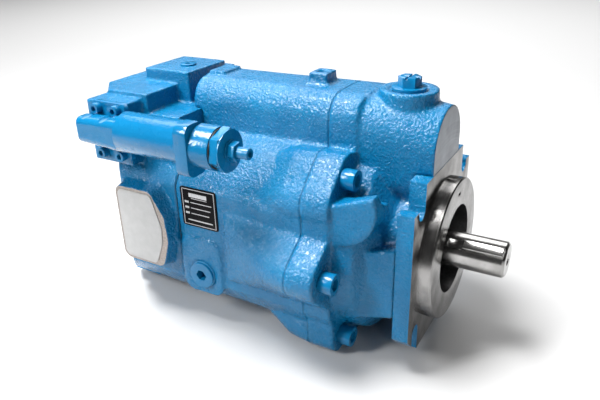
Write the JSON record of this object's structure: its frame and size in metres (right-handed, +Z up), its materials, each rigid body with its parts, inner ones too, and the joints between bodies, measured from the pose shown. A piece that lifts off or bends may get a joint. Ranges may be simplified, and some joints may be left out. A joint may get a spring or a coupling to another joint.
{
  "type": "axial piston pump",
  "caption": "Variable-displacement axial piston pump with a square slotted drive flange, keyed shaft, round pilot and a side-mounted pressure compensator.",
  "frame": {"origin": "on the drive shaft's axis, in the plane of the mounting face of the drive flange", "axes": "+X along the shaft, out of the drive end; +Z up, towards the drain port; -Y towards the compensator side"},
  "size_m": [0.3887, 0.251, 0.2405],
  "materials": {
    "blue_casting": "glossy enamel over rough sand casting",
    "blue_machined": "glossy enamel over smooth metal",
    "blue_fastener": "glossy enamel over steel fasteners",
    "machined_steel": "turned and ground steel",
    "cast_iron": "machined iron",
    "bronze": "machined bronze",
    "spring_steel": "drawn spring wire",
    "black_oxide_steel": "blackened steel",
    "black_rubber": "moulded rubber",
    "gasket_fibre": "pressed fibre sheet",
    "soft_metal_seal": "soft sealing washer",
    "black_plate": "black enamelled plate",
    "pale_film": "pale protective film"
  },
  "bodies": {
    "housing": {"bias_spring": "spring_steel", "centre_housing": "blue_casting", "compensator_body": "blue_machined", "compensator_gasket": "gasket_fibre", "compensator_plug": "blue_machined", "compensator_plug_seal": "black_rubber", "compensator_screws": "blue_fastener", "compensator_spring": "spring_steel", "drain_plug": "blue_fastener", "drain_plug_seal": "soft_metal_seal", "front_bearing_cup": "machined_steel", "front_gasket": "gasket_fibre", "front_housing": "blue_casting", "gauge_plug": "blue_fastener", "housing_bolts": "blue_fastener", "nameplate": "black_plate", "port_film": "pale_film", "rear_bearing_cup": "machined_steel", "rear_gasket": "gasket_fibre", "seal_retaining_ring": "spring_steel", "shaft_seal": "black_rubber", "side_plug": "blue_fastener", "side_plug_seal": "soft_metal_seal", "valve_block": "blue_casting", "valve_block_bolts": "black_oxide_steel", "valve_plate": "bronze", "yoke_bushings": "bronze"},
    "rotating_group": {"drive_shaft": "machined_steel", "shaft_key": "machined_steel", "front_bearing_cone": "machined_steel", "cylinder_block": "cast_iron", "piston_1": "machined_steel", "piston_2": "machined_steel", "piston_3": "machined_steel", "piston_4": "machined_steel", "piston_5": "machined_steel", "piston_6": "machined_steel", "piston_7": "machined_steel", "piston_8": "machined_steel", "piston_9": "machined_steel", "piston_shoes": "bronze", "shoe_plate": "machined_steel", "spherical_washer": "machined_steel", "block_spring": "spring_steel", "block_spring_seat": "machined_steel", "hold_down_pins": "machined_steel"},
    "front_rollers": {"front_bearing_rollers": "machined_steel"},
    "rear_rollers": {"rear_bearing_rollers": "machined_steel"},
    "swash_yoke": {"yoke": "cast_iron", "yoke_pins": "machined_steel", "wear_plate": "machined_steel"},
    "control_plunger": {"control_piston": "machined_steel"},
    "bias_plunger": {"bias_piston": "machined_steel"},
    "spool": {"compensator_spool": "machined_steel"},
    "adjuster_seat": {"spring_seat": "machined_steel"},
    "adjuster_screw": {"adjusting_screw": "blue_machined"},
    "nut_washer": {"lock_washer": "blue_machined"},
    "nut": {"lock_nut": "blue_machined"}
  },
  "joints": [
    {"name": "shaft_spin", "type": "hinge", "parent": "housing", "child": "rotating_group", "pos_m": [0, 0, 0], "axis": [1, 0, 0], "continuous": true},
    {"name": "front_rollers_orbit", "type": "hinge", "parent": "housing", "child": "front_rollers", "pos_m": [0, 0, 0], "axis": [1, 0, 0], "continuous": true},
    {"name": "rear_rollers_orbit", "type": "hinge", "parent": "housing", "child": "rear_rollers", "pos_m": [0, 0, 0], "axis": [1, 0, 0], "continuous": true},
    {"name": "yoke_tilt", "type": "hinge", "parent": "housing", "child": "swash_yoke", "pos_m": [-0.076, 0, 0.054], "axis": [0, -1, 0], "range_deg": [0, 17.1]},
    {"name": "control_piston_slide", "type": "slide", "parent": "housing", "child": "control_plunger", "axis": [1, 0, 0], "range_m": [-0.013, 0]},
    {"name": "bias_piston_slide", "type": "slide", "parent": "housing", "child": "bias_plunger", "axis": [1, 0, 0], "range_m": [-0.0115, 0], "deforming": ["bias_spring"]},
    {"name": "spool_slide", "type": "slide", "parent": "housing", "child": "spool", "axis": [1, 0, 0], "range_m": [0, 0.003], "stiffness_N_per_m": 3000, "springref_m": -0.004, "deforming": ["compensator_spring"]},
    {"name": "adjuster_advance", "type": "slide", "parent": "housing", "child": "adjuster_seat", "axis": [1, 0, 0], "range_m": [-0.00212, 0.00212], "deforming": ["compensator_spring"]},
    {"name": "adjusting_screw_turn", "type": "hinge", "parent": "adjuster_seat", "child": "adjuster_screw", "pos_m": [-0.14, -0.11, 0.1035], "axis": [1, 0, 0], "range_deg": [-721, 721]},
    {"name": "lock_nut_advance", "type": "slide", "parent": "housing", "child": "nut_washer", "axis": [1, 0, 0], "range_m": [0, 0.00212]},
    {"name": "lock_nut_turn", "type": "hinge", "parent": "nut_washer", "child": "nut", "pos_m": [-0.137, -0.11, 0.1035], "axis": [1, 0, 0], "range_deg": [0, 721]}
  ],
  "couplings": [
    {"joint": "front_rollers_orbit", "follows": "shaft_spin", "ratio": 0.443},
    {"joint": "rear_rollers_orbit", "follows": "shaft_spin", "ratio": 0.424},
    {"joint": "control_piston_slide", "follows": "yoke_tilt", "m_per_rad": -0.0429},
    {"joint": "bias_piston_slide", "follows": "yoke_tilt", "m_per_rad": -0.0375},
    {"joint": "adjusting_screw_turn", "follows": "adjuster_advance", "rad_per_m": 5938.7},
    {"joint": "lock_nut_turn", "follows": "lock_nut_advance", "rad_per_m": 5938.7}
  ]
}
